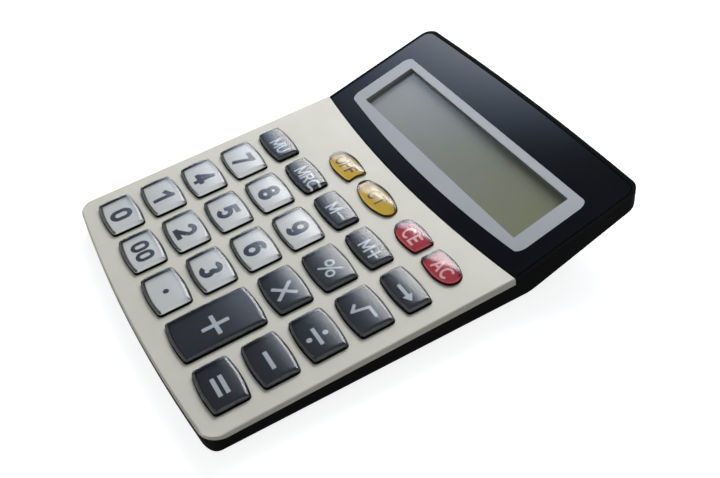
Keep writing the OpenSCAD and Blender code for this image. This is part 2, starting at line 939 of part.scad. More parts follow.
// the rounding starts a little outside the walls and ends a little above the crown
edge_lead = 0.1;
module barrel_body(h) {
    big = bow_r(key_w / 2, key_corner, key_corner + key_bow);
    crown_r = h * h / (8 * crown_drop);
    intersection() {
        translate([0, 0, lip_top]) linear_extrude(height = far) barrel_2d(key_w, h, key_corner, key_bow);
        front_slab(-far, far) edge_2d(key_w / 2 + edge_lead, -far, key_top + edge_lead, key_edge, false);
        translate([0, big - h / 2, 0]) key_disc(big);
        translate([0, h / 2 - big, 0]) key_disc(big);
        translate([-far / 2, 0, key_top - crown_r]) rotate([0, 90, 0]) {
            cylinder(r = crown_r, h = far, $fn = 720);
        }
    }
}

module key_disc(big) {
    rotate_extrude($fn = 360) disc_2d(big + edge_lead, -far, key_top + edge_lead, key_edge, false);
}

// plate that keeps a key under its opening
module key_lip(w, h) {
    translate([-w / 2 - lip, -h / 2 - lip, lip_low]) cube([w + 2 * lip, h + 2 * lip, lip_t]);
}

// room under the key top, with a round plunger left standing on the dome
hollow_wall = 2.2;
hollow_top = 1.2;
plunger_r = 2.6;
module key_hollow(w, h) {
    difference() {
        translate([-w / 2 + hollow_wall, -h / 2 + hollow_wall, lip_low - 1]) {
            cube([w - 2 * hollow_wall, h - 2 * hollow_wall, key_top - hollow_top - lip_low]);
        }
        translate([0, 0, -far]) cylinder(r = plunger_r, h = 2 * far);
    }
}

// a shaped key of width w with the outline of its child, domed in both directions
shaped_top = 2.6;
shaped_dome_y = 10;
shaped_dome_x = 40;
module shaped_key(x, w) {
    in_deck() translate([x, shaped_y, 0]) {
        intersection() {
            translate([0, 0, lip_top]) linear_extrude(height = far) children();
            translate([0, far / 2, shaped_top + edge_lead - shaped_dome_x]) rotate([90, 0, 0]) {
                cylinder(r = shaped_dome_x, h = far, $fn = 360);
            }
            translate([-far / 2, 0, shaped_top - shaped_dome_y]) rotate([0, 90, 0]) {
                cylinder(r = shaped_dome_y, h = far, $fn = 180);
            }
        }
        key_lip(w, shaped_h);
    }
}

grey = [0.76, 0.78, 0.79];
dark = [0.2, 0.21, 0.23];
yellow = [0.78, 0.66, 0.2];
red = [0.65, 0.2, 0.21];

module key_0() {
    color(grey) barrel_key(col_x(0), row_y(0), row_h(0));
}

module key_00() {
    color(grey) barrel_key(col_x(1), row_y(0), row_h(0));
}

module key_point() {
    color(grey) barrel_key(col_x(2), row_y(0), row_h(0));
}

module key_1() {
    color(grey) barrel_key(col_x(0), row_y(1), row_h(1));
}

module key_2() {
    color(grey) barrel_key(col_x(1), row_y(1), row_h(1));
}

module key_3() {
    color(grey) barrel_key(col_x(2), row_y(1), row_h(1));
}

module key_4() {
    color(grey) barrel_key(col_x(0), row_y(2), row_h(2));
}

module key_5() {
    color(grey) barrel_key(col_x(1), row_y(2), row_h(2));
}

module key_6() {
    color(grey) barrel_key(col_x(2), row_y(2), row_h(2));
}

module key_7() {
    color(grey) barrel_key(col_x(0), row_y(3), row_h(3));
}

module key_8() {
    color(grey) barrel_key(col_x(1), row_y(3), row_h(3));
}

module key_9() {
    color(grey) barrel_key(col_x(2), row_y(3), row_h(3));
}

module key_plus() {
    color(dark) barrel_key(col_x(3), plus_y, plus_h);
}

module key_equals() {
    color(dark) barrel_key(col_x(4), row_y(0), row_h(0));
}

module key_minus() {
    color(dark) barrel_key(col_x(4), row_y(1), row_h(1));
}

module key_times() {
    color(dark) barrel_key(col_x(3), row_y(2), row_h(2));
}

module key_divide() {
    color(dark) barrel_key(col_x(4), row_y(2), row_h(2));
}

module key_percent() {
    color(dark) barrel_key(col_x(3), row_y(3), row_h(3));
}

module key_root() {
    color(dark) barrel_key(col_x(4), row_y(3), row_h(3));
}

module key_mu() {
    color(dark) barrel_key(col_x(0), row_y(4), row_h(4));
}

module key_mrc() {
    color(dark) barrel_key(col_x(1), row_y(4), row_h(4));
}

module key_m_minus() {
    color(dark) barrel_key(col_x(2), row_y(4), row_h(4));
}

module key_m_plus() {
    color(dark) barrel_key(col_x(3), row_y(4), row_h(4));
}

module key_arrow() {
    color(dark) barrel_key(col_x(4), row_y(4), row_h(4));
}

module key_off() {
    color(yellow) shaped_key(off_x, off_w) off_2d(0);
}

module key_gt() {
    color(yellow) shaped_key(gt_x, gt_w) gt_2d(0);
}

module key_ce() {
    color(red) shaped_key(ce_x, d_w) ce_2d(0);
}

module key_ac() {
    color(red) shaped_key(ac_x, d_w) ac_2d(0);
}

bottom_case();
keypad_plate();
head_cover();
display_window();
lcd_cell();
lcd_holder();
lcd_ribbon();
keypad_mat();
circuit_board();
chip();
board_screws();
case_screws();
battery_door();
battery_cell();
battery_spring();
battery_contact();
lead_red();
lead_black();
rubber_feet();
key_0();
key_00();
key_point();
key_1();
key_2();
key_3();
key_4();
key_5();
key_6();
key_7();
key_8();
key_9();
key_plus();
key_equals();
key_minus();
key_times();
key_divide();
key_percent();
key_root();
key_mu();
key_mrc();
key_m_minus();
key_m_plus();
key_arrow();
key_off();
key_gt();
key_ce();
key_ac();
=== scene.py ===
import math

import bmesh
import bpy
from mathutils import Matrix, Vector


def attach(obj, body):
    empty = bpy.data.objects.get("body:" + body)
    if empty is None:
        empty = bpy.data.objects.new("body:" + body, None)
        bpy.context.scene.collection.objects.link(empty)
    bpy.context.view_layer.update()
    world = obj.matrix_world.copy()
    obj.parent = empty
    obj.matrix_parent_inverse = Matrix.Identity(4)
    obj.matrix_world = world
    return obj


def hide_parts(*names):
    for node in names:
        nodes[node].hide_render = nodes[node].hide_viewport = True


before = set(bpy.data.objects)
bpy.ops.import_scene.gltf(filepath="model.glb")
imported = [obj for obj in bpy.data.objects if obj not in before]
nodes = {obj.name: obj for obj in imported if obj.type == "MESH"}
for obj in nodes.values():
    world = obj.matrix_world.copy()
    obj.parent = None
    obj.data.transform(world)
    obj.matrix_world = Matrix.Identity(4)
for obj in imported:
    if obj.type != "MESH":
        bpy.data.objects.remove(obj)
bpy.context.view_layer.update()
print("frame loaded:", len(nodes), "nodes")

# places are written in millimetres, in the tilted frames of the key plate and of the display face
mm = 0.001
deck = {"y": -78.05, "z": 10.5, "tilt": 1.75}  # plate top, at the first key row
head = {"y": 124.6, "z": 1.73, "tilt": 12.9}   # display face, at the front edge of its opening
toDeck = (Matrix.Scale(mm, 4) @ Matrix.Translation((0, deck["y"], deck["z"]))
          @ Matrix.Rotation(math.radians(deck["tilt"]), 4, "X"))
toHead = (toDeck @ Matrix.Translation((0, head["y"], head["z"]))
          @ Matrix.Rotation(math.radians(head["tilt"]), 4, "X"))


def srgb(red, green, blue):
    # screen colour of 0 to 255 to a linear one
    def linear(c):
        c /= 255
        return c / 12.92 if c < 0.04045 else ((c + 0.055) / 1.055) ** 2.4
    return (linear(red), linear(green), linear(blue), 1)


def addNode(tree, kind, inputs=None, **settings):
    node = tree.nodes.new(kind)
    for name, value in settings.items():
        setattr(node, name, value)
    for name, value in (inputs or {}).items():
        node.inputs[name].default_value = value
    return node


def calc(tree, operation, *values):
    # a maths node: numbers are set on its sockets, outputs of other nodes are linked to them
    node = addNode(tree, "ShaderNodeMath", operation=operation)
    for socket, value in zip(node.inputs, values):
        if isinstance(value, (int, float)):
            socket.default_value = value
        else:
            tree.links.new(value, socket)
    return node.outputs["Value"]


def mixShaders(tree, factor, first, second, output="Material Output"):
    mix = addNode(tree, "ShaderNodeMixShader")
    tree.links.new(factor, mix.inputs["Fac"])
    tree.links.new(first, mix.inputs[1])
    tree.links.new(second, mix.inputs[2])
    tree.links.new(mix.outputs["Shader"], tree.nodes[output].inputs["Surface"])


def newMaterial(name, inputs):
    material = bpy.data.materials.new(name)
    material.use_nodes = True
    tree = material.node_tree
    shader = tree.nodes["Principled BSDF"]
    for socket, value in inputs.items():
        shader.inputs[socket].default_value = value
    return material, tree, shader


def objectPlace(tree):
    return addNode(tree, "ShaderNodeTexCoord").outputs["Object"]


def objectAxis(tree, axis):
    parts = addNode(tree, "ShaderNodeSeparateXYZ")
    tree.links.new(objectPlace(tree), parts.inputs["Vector"])
    return parts.outputs[axis]


def noise(tree, scale, detail):
    texture = addNode(tree, "ShaderNodeTexNoise", {"Scale": scale, "Detail": detail})
    tree.links.new(objectPlace(tree), texture.inputs["Vector"])
    return texture.outputs["Fac"]


def mapped(tree, value, low, high, fromLow=0.3, fromHigh=0.7):
    # the usual span of a noise, or another one, to low and high
    node = addNode(tree, "ShaderNodeMapRange",
                   {"From Min": fromLow, "From Max": fromHigh, "To Min": low, "To Max": high})
    tree.links.new(value, node.inputs["Value"])
    return node.outputs["Result"]


def ramp(tree, value, stops, blend="LINEAR"):
    node = addNode(tree, "ShaderNodeValToRGB")
    elements = node.color_ramp.elements
    node.color_ramp.interpolation = blend
    while len(elements) < len(stops):
        elements.new(0.5)
    for element, (place, colour) in zip(elements, stops):
        element.position = place
        element.color = colour
    tree.links.new(value, node.inputs["Fac"])
    return node.outputs["Color"]


def bump(tree, shader, value, strength, depth):
    node = addNode(tree, "ShaderNodeBump", {"Strength": strength, "Distance": depth})
    tree.links.new(value, node.inputs["Height"])
    tree.links.new(node.outputs["Normal"], shader.inputs["Normal"])


# moulded plastic: cloudy colour, grain in gloss and relief
moulding = {"clouds": 45, "detail": 3, "low": 0.35, "high": 0.65, "depth": 0.00004}


def plastic(name, colour, second, rough, grain, relief, inputs=None):
    material, tree, shader = newMaterial(name, inputs or {})
    clouds = noise(tree, moulding["clouds"], moulding["detail"])
    stops = [(moulding["low"], srgb(*colour)), (moulding["high"], srgb(*second))]
    tree.links.new(ramp(tree, clouds, stops), shader.inputs["Base Color"])
    fine = noise(tree, grain, moulding["detail"])
    tree.links.new(mapped(tree, fine, *rough), shader.inputs["Roughness"])
    bump(tree, shader, fine, relief, moulding["depth"])
    return material


# gloss panel whose walls round the display opening are painted a dull pale grey: painted light that lifts
# the shade in that recess
opening = {"half": 58.3, "front": -0.05, "rear": 26.75, "paintedLight": (150, 153, 149)}


def panelWithPaintedLight(name, *look):
    material = plastic(name, *look)
    tree = material.node_tree
    base = tree.nodes["Principled BSDF"].inputs["Base Color"]
    across = objectAxis(tree, "X")
    fromFront = addNode(tree, "ShaderNodeVectorMath", {1: toHead.translation}, operation="SUBTRACT")
    tree.links.new(objectPlace(tree), fromFront.inputs[0])
    rearward = toHead.to_3x3().col[1].normalized()
    along = addNode(tree, "ShaderNodeVectorMath", {1: rearward}, operation="DOT_PRODUCT")
    tree.links.new(fromFront.outputs["Vector"], along.inputs[0])
    up = along.outputs["Value"]
    mask = calc(tree, "LESS_THAN", across, opening["half"] * mm)
    for operation, value, limit in (("GREATER_THAN", across, -opening["half"]),
                                    ("GREATER_THAN", up, opening["front"]),
                                    ("LESS_THAN", up, opening["rear"])):
        mask = calc(tree, "MULTIPLY", mask, calc(tree, operation, value, limit * mm))
    # painted light: pale grey on the walls of the display opening, where shade falls
    colour = addNode(tree, "ShaderNodeMix", {"B": srgb(*opening["paintedLight"])}, data_type="RGBA")
    tree.links.new(mask, colour.inputs["Factor"])
    tree.links.new(base.links[0].from_socket, colour.inputs["A"])
    tree.links.new(colour.outputs["Result"], base)
    return material


# display film: olive grey, with a painted reflection and view-angle tint that turns it from bluish grey
# to olive along its length, as the eye's angle to it would
filmAndSheen = {"left": (147, 146, 140), "middle": (130, 132, 120), "right": (123, 124, 95), "middleAt": 0.45,
        "half": 56, "rough": 0.55, "clouds": 60, "detail": 3, "drift": 0.03}


def lcdFilmWithSheen(name):
    material, tree, shader = newMaterial(name, {"Roughness": filmAndSheen["rough"]})
    half = filmAndSheen["half"] * mm
    along = mapped(tree, objectAxis(tree, "X"), 0.0, 1.0, -half, half)
    cloudy = mapped(tree, noise(tree, filmAndSheen["clouds"], filmAndSheen["detail"]), -filmAndSheen["drift"], filmAndSheen["drift"])
    # painted reflection: the bluish grey toward the left end stands for sheen and view-angle tint
    stops = [(0.0, srgb(*filmAndSheen["left"])), (filmAndSheen["middleAt"], srgb(*filmAndSheen["middle"])),
             (1.0, srgb(*filmAndSheen["right"]))]
    tree.links.new(ramp(tree, calc(tree, "ADD", along, cloudy), stops), shader.inputs["Base Color"])
    return material


# printed sleeve of the battery cell: bands along its length, bare steel at both ends
sleeve = {"half": 25.25, "metal": 0.6, "rough": (0.22, 0.32), "grain": 1500, "detail": 3,
          "bands": [(0.0, (176, 176, 174)), (0.017, (38, 66, 120)), (0.7, (205, 205, 200)),
                    (0.72, (176, 128, 70)), (0.972, (176, 176, 174))]}


def cellSleeve(name):
    material, tree, shader = newMaterial(name, {"Metallic": sleeve["metal"]})
    half = sleeve["half"] * mm
    along = mapped(tree, objectAxis(tree, "X"), 0.0, 1.0, -half, half)
    stops = [(place, srgb(*colour)) for place, colour in sleeve["bands"]]
    tree.links.new(ramp(tree, along, stops, "CONSTANT"), shader.inputs["Base Color"])
    fine = noise(tree, sleeve["grain"], sleeve["detail"])
    tree.links.new(mapped(tree, fine, *sleeve["rough"]), shader.inputs["Roughness"])
    return material


# clear plastic: refracts for the eye, lets lamp light straight through to what it covers
clearLook = {"ior": 1.49, "clouds": 150, "detail": 2}


def clearPlastic(name, rough, tint):
    material, tree, shader = newMaterial(
        name, {"Base Color": tint, "Transmission Weight": 1.0, "IOR": clearLook["ior"]})
    clouds = noise(tree, clearLook["clouds"], clearLook["detail"])
    tree.links.new(mapped(tree, clouds, *rough), shader.inputs["Roughness"])
    path = addNode(tree, "ShaderNodeLightPath").outputs
    straight = calc(tree, "MAXIMUM", path["Is Shadow Ray"], path["Is Diffuse Ray"])
    through = addNode(tree, "ShaderNodeBsdfTransparent", {"Color": tint})
    mixShaders(tree, straight, shader.outputs["BSDF"], through.outputs["BSDF"])
    return material


plastics = {  # colour, second colour, roughness, grain, relief, other inputs
    "plateWhite": ((211, 207, 193), (206, 202, 187), (0.38, 0.46), 5200, 0.12,
                   {"Specular IOR Level": 0.25}),
    "caseBlack": ((9, 9, 10), (12, 12, 13), (0.6, 0.72), 3000, 0.35, {"Specular IOR Level": 0.02}),
    "frameSilver": ((165, 169, 172), (171, 174, 177), (0.34, 0.44), 9000, 0.05),
    "holderWhite": ((196, 196, 190), (186, 186, 180), (0.45, 0.55), 3000, 0.1),
    "matSilicone": ((120, 120, 124), (112, 112, 118), (0.55, 0.65), 3000, 0.1),
    "resinBlack": ((14, 14, 14), (20, 20, 20), (0.25, 0.35), 800, 0.2),
    "leadRed": ((165, 24, 20), (150, 20, 18), (0.4, 0.5), 3000, 0.1),
    "leadBlack": ((18, 18, 18), (24, 24, 24), (0.4, 0.5), 3000, 0.1),
    "footRubber": ((26, 26, 26), (34, 34, 33), (0.7, 0.85), 2500, 0.4),
    "screwSteel": ((150, 150, 152), (170, 170, 172), (0.3, 0.45), 2500, 0.2, {"Metallic": 1.0}),
    "contactSteel": ((185, 182, 170), (200, 198, 188), (0.25, 0.4), 2500, 0.1, {"Metallic": 1.0}),
    "ribbonAmber": ((200, 135, 50), (185, 120, 42), (0.3, 0.4), 2500, 0.05),
    "boardGreen": ((36, 84, 50), (44, 98, 58), (0.3, 0.45), 1200, 0.1),
}
panelLook = ((14, 15, 19), (17, 18, 22), (0.07, 0.12), 2600, 0.01, {"Specular IOR Level": 0.3})

# paints of the keys lie against the clear cap, so they have almost no gloss of their own
paintLook = {"rough": (0.5, 0.6), "grain": 2600, "relief": 0.05, "inputs": {"Specular IOR Level": 0.03}}
paints = {  # colour, second colour
    "coreGrey": ((206, 205, 200), (201, 200, 195)),
    "coreCharcoal": ((37, 38, 42), (41, 42, 46)),
    "coreYellow": ((202, 166, 58), (194, 158, 52)),
    "coreRed": ((169, 57, 63), (161, 51, 58)),
    "skirtBlack": ((8, 8, 9), (12, 12, 13)),
    # painted shade: darker copies of the key paints, for the walls and floor of the key's tray
    "paintedShadeGrey": ((92, 94, 97), (86, 88, 91)),
    "paintedShadeYellow": ((104, 86, 34), (96, 79, 30)),
    "paintedShadeRed": ((88, 28, 32), (82, 25, 30)),
    "printSlate": ((50, 55, 65), (55, 60, 70)),
    "printPale": ((176, 182, 185), (170, 177, 181)),
    "printGrey": ((84, 75, 56), (90, 81, 62)),
    "printRose": ((222, 176, 176), (216, 168, 170)),
}
clears = {  # roughness, tint
    "windowClear": ((0.01, 0.03), (0.97, 0.98, 0.98, 1)),
    "capClear": ((0.17, 0.2), (0.98, 0.985, 0.99, 1)),
}

finishes = {
    "panelGloss": panelWithPaintedLight("panelGloss", *panelLook),
    "lcdOliveSheen": lcdFilmWithSheen("lcdOliveSheen"),
    "sleeveBlue": cellSleeve("sleeveBlue"),
}
for name, look in plastics.items():
    finishes[name] = plastic(name, *look)
for name, colours in paints.items():
    finishes[name] = plastic(name, *colours, **paintLook)
for name, look in clears.items():
    finishes[name] = clearPlastic(name, *look)
print("finishes made:", len(finishes))

nodeFinish = {
    "bottom_case": "caseBlack", "keypad_plate": "plateWhite", "head_cover": "panelGloss",
    "display_window": "windowClear", "lcd_cell": "lcdOliveSheen", "lcd_holder": "holderWhite",
    "lcd_ribbon": "ribbonAmber", "keypad_mat": "matSilicone", "circuit_board": "boardGreen",
    "chip": "resinBlack", "board_screws": "screwSteel", "case_screws": "screwSteel",
    "battery_door": "caseBlack", "battery_cell": "sleeveBlue", "battery_spring": "contactSteel",
    "battery_contact": "contactSteel", "lead_red": "leadRed", "lead_black": "leadBlack",
    "rubber_feet": "footRubber",
}
for name, finish in nodeFinish.items():
    mesh = nodes[name].data
    mesh.materials.clear()
    mesh.materials.append(finishes[finish])
print("frame nodes finished")

creaseAngle = 38  # degrees, between faces that keep a sharp edge


def meshObject(bm, name):
    mesh = bpy.data.meshes.new(name)
    bm.to_mesh(mesh)
    bm.free()
    thing = bpy.data.objects.new(name, mesh)
    bpy.context.scene.collection.objects.link(thing)
    return thing


def finishPiece(bm, name, place, materials, body, slot, smooth=True):
    bmesh.ops.transform(bm, matrix=place, verts=bm.verts)
    piece = meshObject(bm, name)
    for material in materials:
        piece.data.materials.append(finishes[material])
    for polygon in piece.data.polygons:
        polygon.use_smooth = smooth
    piece.data.set_sharp_from_angle(angle=math.radians(creaseAngle))
    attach(piece, body)
    return piece


def newVerts(result):
    return [v for v in result["geom"] if isinstance(v, bmesh.types.BMVert)]


def extrudeFaces(bm, faces, rise):
    raised = bmesh.ops.extrude_face_region(bm, geom=faces)
    bmesh.ops.translate(bm, verts=newVerts(raised), vec=(0, 0, rise))


def moveFaces(bm, faces, shift):
    bmesh.ops.translate(bm, verts=list({v for f in faces for v in f.verts}), vec=shift)


# silver frame printed round the display opening
silverFrame = {"half": 65.6, "rear": 30.6, "front": -7.37, "arc": 553, "corner": 4.4,
               "openHalf": 58.25, "openRear": 26.7, "thick": 0.03, "lift": 0.005,
               "columns": 48, "cornerSteps": 10, "near": 1e-5}


def makeSilverFrame():
    s = silverFrame
    bm = bmesh.new()
    bmesh.ops.create_grid(bm, x_segments=s["columns"], y_segments=1, size=1)
    for v in bm.verts:
        x = v.co.x * s["half"]
        bow = s["arc"] - math.sqrt(s["arc"] ** 2 - x * x)
        v.co = (x, s["rear"] if v.co.y > 0 else s["front"] + bow, 0)
    corners = [v for v in bm.verts if len(v.link_edges) == 2]
    bmesh.ops.bevel(bm, geom=corners, offset=s["corner"], offset_type="OFFSET", affect="VERTICES",
                    segments=s["cornerSteps"], profile=0.5, material=-1)
    # cut along the four sides of the opening, then take its middle out
    for where, along in (((s["openHalf"], 0, 0), (1, 0, 0)), ((-s["openHalf"], 0, 0), (1, 0, 0)),
                         ((0, 0, 0), (0, 1, 0)), ((0, s["openRear"], 0), (0, 1, 0))):
        bmesh.ops.bisect_plane(bm, geom=bm.verts[:] + bm.edges[:] + bm.faces[:], dist=s["near"],
                               plane_co=where, plane_no=along)
    inside = [f for f in bm.faces if abs(f.calc_center_median().x) < s["openHalf"]
              and 0 < f.calc_center_median().y < s["openRear"]]
    bmesh.ops.delete(bm, geom=inside, context="FACES")
    bmesh.ops.recalc_face_normals(bm, faces=bm.faces)
    extrudeFaces(bm, bm.faces[:], s["thick"])
    bmesh.ops.recalc_face_normals(bm, faces=bm.faces)
    place = toHead @ Matrix.Translation((0, 0, s["lift"]))
    finishPiece(bm, "silverFrame", place, ["frameSilver"], "housing", "frame_silver", False)


makeSilverFrame()
print("silver frame made")

# keys: a clear cap over a coloured core with its legend
key = {"w": 22.2, "h": 15.9, "memoryH": 12.2, "shapedH": 11, "corner": 1.5, "leastCorner": 0.3,
       "bow": 0.85, "endBow": 1.2, "column": 27.7, "row": 19.6, "memoryStep": 18, "shapedStep": 17.5,
       "near": 1e-4}
cap = {"top": 2.5, "edge": 1.7, "fall": 1.1, "lead": 0.1, "crown": 0.55, "corner": 0.5,
       "shapedTop": 2.6, "domeY": 12, "domeX": 40, "shapedEdge": 0.8, "shapedLead": 0.15,
       "shapedCorner": 0.2, "low": -1.0, "columns": 60, "rows": 48}
core = {"proud": 0.02, "rim": 1.1, "rimWidth": 1.4, "shapedRim": 1.05, "aside": -0.4, "back": 0.25,
        "floor": -0.72, "low": -1.65, "wall": 1.6, "roof": -1.2,
        "paintInset": 1.5, "shapedInset": 1.1, "paintTop": -0.6, "sunk": 0.05,
        "lip": 0.9, "lipWidth": 3.1, "shapedLip": 2.6, "lipTop": -1.66, "lipLow": -2.45,
        "columns": 24, "rows": 12, "level": 0.9}
slots = {"field": 0, "tray": 1, "print": 2, "trayFloor": 3}  # of a core's materials


def barrel(w, h):
    return {"w": w, "h": h, "left": (key["corner"], key["bow"]), "right": (key["corner"], key["bow"])}


def roundEnd(h):
    r = h / 2 - key["endBow"]
    return (r, h / 2 - r)


def drawnIn(shape, d):
    # the same outline, drawn in by d
    inner = {**shape, "w": shape["w"] - 2 * d, "h": shape["h"] - 2 * d}
    for side in ("left", "right"):
        r, bow = shape[side]
        inner[side] = (max(r - d, key["leastCorner"]), bow)
    if "hollow" in shape:
        middle, r = shape["hollow"]
        inner["hollow"] = (middle, r + d)
    return inner


def reach(shape, y):
    # how far the right end goes at y: a hollow end follows a circle beyond it
    if "hollow" not in shape:
        return shape["w"] / 2
    middle, r = shape["hollow"]
    return min(shape["w"] / 2, middle - math.sqrt(r * r - y * y))


def halfDepth(shape, x):
    # half of an outline's depth at x: a bowed side with a round corner at its end
    r, bow = shape["left"] if x < 0 else shape["right"]
    x = min(abs(x), shape["w"] / 2)
    side = shape["w"] / 2 - r
    big = (side * side + (r + bow) ** 2 - r * r) / (2 * bow)
    if x <= side * big / (big - r):
        return shape["h"] / 2 - big + math.sqrt(big * big - x * x)
    return max(shape["h"] / 2 - r - bow, 0) + math.sqrt(max(r * r - (x - side) ** 2, 0))


def rounded(distance, r):
    # how far a rounded edge lies below the top, at a distance from the wall
    inside = min(max(r - distance, 0), r)
    return r - math.sqrt(r * r - inside * inside)


def softMin(a, b, width):
    # the lower of two heights, with the crease between them blended
    t = min(max(0.5 + (b - a) / (2 * width), 0), 1)
    return b + (a - b) * t - width * t * (1 - t)


def block(shape, height, low, columns, rows):
    # a closed block on an outline: a grid is fitted to the outline, raised, and its border drawn down
    bm = bmesh.new()
    bmesh.ops.create_grid(bm, x_segments=columns, y_segments=rows, size=1)
    for v in bm.verts:
        x = shape["w"] / 2 * math.sin(v.co.x * math.pi / 2)
        y = halfDepth(shape, x) * math.sin(v.co.y * math.pi / 2)
        if x > 0:
            x *= reach(shape, y) / (shape["w"] / 2)
        v.co = (x, y, height(x, y))
    bmesh.ops.remove_doubles(bm, verts=bm.verts, dist=key["near"])
    border = [e for e in bm.edges if e.is_boundary]
    for v in newVerts(bmesh.ops.extrude_edge_only(bm, edges=border)):
        v.co.z = low
    bmesh.ops.holes_fill(bm, edges=[e for e in bm.edges if e.is_boundary], sides=0)
    bmesh.ops.recalc_face_normals(bm, faces=bm.faces)
    return bm


def edgeDrop(distance):
    # how far a cap's border lies below its crown: it falls away along part of an ellipse
    inside = min(max(1 - (distance + cap["lead"]) / cap["edge"], 0), 1)
    return cap["fall"] * (1 - math.sqrt(1 - inside * inside))


def crownHeight(shape):
    # top of a barrel cap: crowned front to rear, falling away at its four sides
    drop = cap["crown"] * 4 / shape["h"] ** 2

    def height(x, y):
        near = softMin(shape["w"] / 2 - abs(x), halfDepth(shape, x) - abs(y), cap["corner"])
        return cap["top"] - drop * y * y - edgeDrop(max(near, 0))
    return height


def domeHeight(shape, ridge):
    # top of a shaped cap: domed both ways, highest along its ridge
    def height(x, y):
        across = x * x / (2 * cap["domeX"])
        along = (y - ridge) ** 2 / (2 * cap["domeY"])
        right = reach(shape, y) - x
        near = softMin(halfDepth(shape, x) - abs(y), min(right, shape["w"] / 2 + x), cap["shapedCorner"])
        border = rounded(near + cap["shapedLead"], cap["shapedEdge"])
        return cap["shapedTop"] - math.hypot(across, along) - border
    return height


def flat(level):
    return lambda x, y: level


# legends: strokes in a box one unit high, as bars and runs (x y to x y), heads, dots (middle, radius)
# and arcs (middle, radius, start, sweep, stretch); a run has no overhang at its ends
strokes = {
    "0": (0.66, ["arc .33 .67 .33 0 180", "arc .33 .33 .33 180 180", "run 0 .33 0 .67",
                 "run .66 .33 .66 .67"]),
    "1": (0.50, ["bar .45 0 .45 1", "bar .43 .97 .02 .74"]),
    "2": (0.66, ["arc .33 .67 .33 165 -200", "run .6 .48 0 0", "bar 0 0 .64 0"]),
    "3": (0.64, ["arc .31 .76 .24 155 -245 1.15", "arc .31 .27 .27 90 -250 1.18"]),
    "4": (0.70, ["bar .46 1 .02 .3", "bar 0 .26 .68 .26", "bar .48 0 .48 1"]),
    "5": (0.66, ["bar .12 1 .58 1", "bar .12 1 .07 .52", "arc .32 .32 .32 140 -290"]),
    "6": (0.66, ["arc .33 .67 .33 180 -140", "run 0 .33 0 .67", "arc .33 .33 .33 0 360"]),
    "7": (0.64, ["bar 0 1 .62 1", "bar .6 .98 .2 0"]),
    "8": (0.66, ["arc .33 .75 .25 0 360 1.12", "arc .33 .27 .27 0 360 1.2"]),
    "9": (0.66, ["arc .33 .33 .33 0 -140", "run .66 .33 .66 .67", "arc .33 .67 .33 0 360"]),
    ".": (0.00, ["dot 0 .5 .17"]),
    "+": (0.93, ["bar 0 .5 .93 .5", "bar .465 0 .465 1"]),
    "-": (1.00, ["bar 0 .5 1 .5"]),
    "=": (1.00, ["bar 0 .7 1 .7", "bar 0 .3 1 .3"]),
    "x": (0.90, ["bar 0 0 .9 1", "bar 0 1 .9 0"]),
    "/": (1.08, ["bar 0 .5 1.08 .5", "dot .54 .98 .16", "dot .54 .02 .16"]),
    "r": (1.43, ["bar 0 .32 .37 0", "bar .37 0 .63 1", "bar .63 1 1.43 1"]),
    ">": (1.60, ["bar 0 .5 1.05 .5", "head 1.0 .5 .34 .62"]),
    "%": (1.08, ["arc .2 .66 .21 0 360", "arc .88 .34 .21 0 360", "bar .23 0 .85 1"]),
    "M": (0.95, ["bar 0 0 0 1", "bar .95 0 .95 1", "run 0 1 .475 .1", "run .95 1 .475 .1"]),
    "U": (0.72, ["bar 0 .36 0 1", "bar .72 .36 .72 1", "arc .36 .36 .36 180 180"]),
    "R": (0.68, ["bar 0 0 0 1", "bar 0 1 .4 1", "bar 0 .5 .4 .5", "arc .4 .75 .25 90 -180",
                 "bar .38 .5 .66 0"]),
    "C": (0.80, ["arc .45 .5 .5 45 270 .9"]),
    "O": (0.90, ["arc .45 .5 .5 0 360 .88"]),
    "F": (0.55, ["bar 0 0 0 1", "bar 0 1 .55 1", "bar 0 .52 .48 .52"]),
    "G": (0.88, ["arc .45 .5 .5 45 315 .9", "bar .55 .46 .88 .46"]),
    "T": (0.72, ["bar 0 1 .72 1", "bar .36 0 .36 1"]),
    "E": (0.55, ["bar 0 0 0 1", "bar 0 1 .55 1", "bar 0 .5 .48 .5", "bar 0 0 .55 0"]),
    "A": (0.84, ["run 0 -.05 .42 1.05", "run .84 -.05 .42 1.05", "bar .18 .34 .66 .34"]),
}
ink = {"thick": 0.04, "sunk": 0.03, "step": 0.004, "dotSegments": 28, "arcSteps": 30, "fullTurn": 360}


def addStroke(bm, words, shift, scale, thick, lift):
    kind = words[0]
    n = [float(w) for w in words[1:]]
    start = Vector((n[0] * scale + shift, n[1] * scale, lift))
    if kind in ("bar", "run"):
        end = Vector((n[2] * scale + shift, n[3] * scale, lift))
        length = (end - start).length + (thick if kind == "bar" else 0)
        turn = math.atan2(end.y - start.y, end.x - start.x)
        place = (Matrix.Translation((start + end) / 2) @ Matrix.Rotation(turn, 4, "Z")
                 @ Matrix.Diagonal((length, thick, 1, 1)))
        bmesh.ops.create_grid(bm, x_segments=1, y_segments=1, size=0.5, matrix=place)
    elif kind == "dot":
        bmesh.ops.create_circle(bm, cap_ends=True, segments=ink["dotSegments"], radius=n[2] * scale,
                                matrix=Matrix.Translation(start))
    elif kind == "head":
        corners = [(0, -n[2]), (n[3], 0), (0, n[2])]
        bm.faces.new([bm.verts.new(start + Vector((x, y, 0)) * scale) for x, y in corners])
    else:
        before = set(bm.verts)
        turn, sweep = math.radians(n[3]), math.radians(n[4])
        out = Vector((math.cos(turn), math.sin(turn), 0))
        ends = [bm.verts.new(start + out * (n[2] * scale + side * thick / 2)) for side in (-1, 1)]
        edge = bm.edges.new(ends)
        bmesh.ops.spin(bm, geom=ends + [edge], cent=start, axis=(0, 0, 1), angle=sweep,
                       steps=ink["arcSteps"], use_merge=abs(n[4]) >= ink["fullTurn"])
        stretch = n[5] if len(n) > 5 else 1
        bmesh.ops.scale(bm, vec=(stretch, 1, 1), space=Matrix.Translation(-start),
                        verts=[v for v in bm.verts if v not in before])


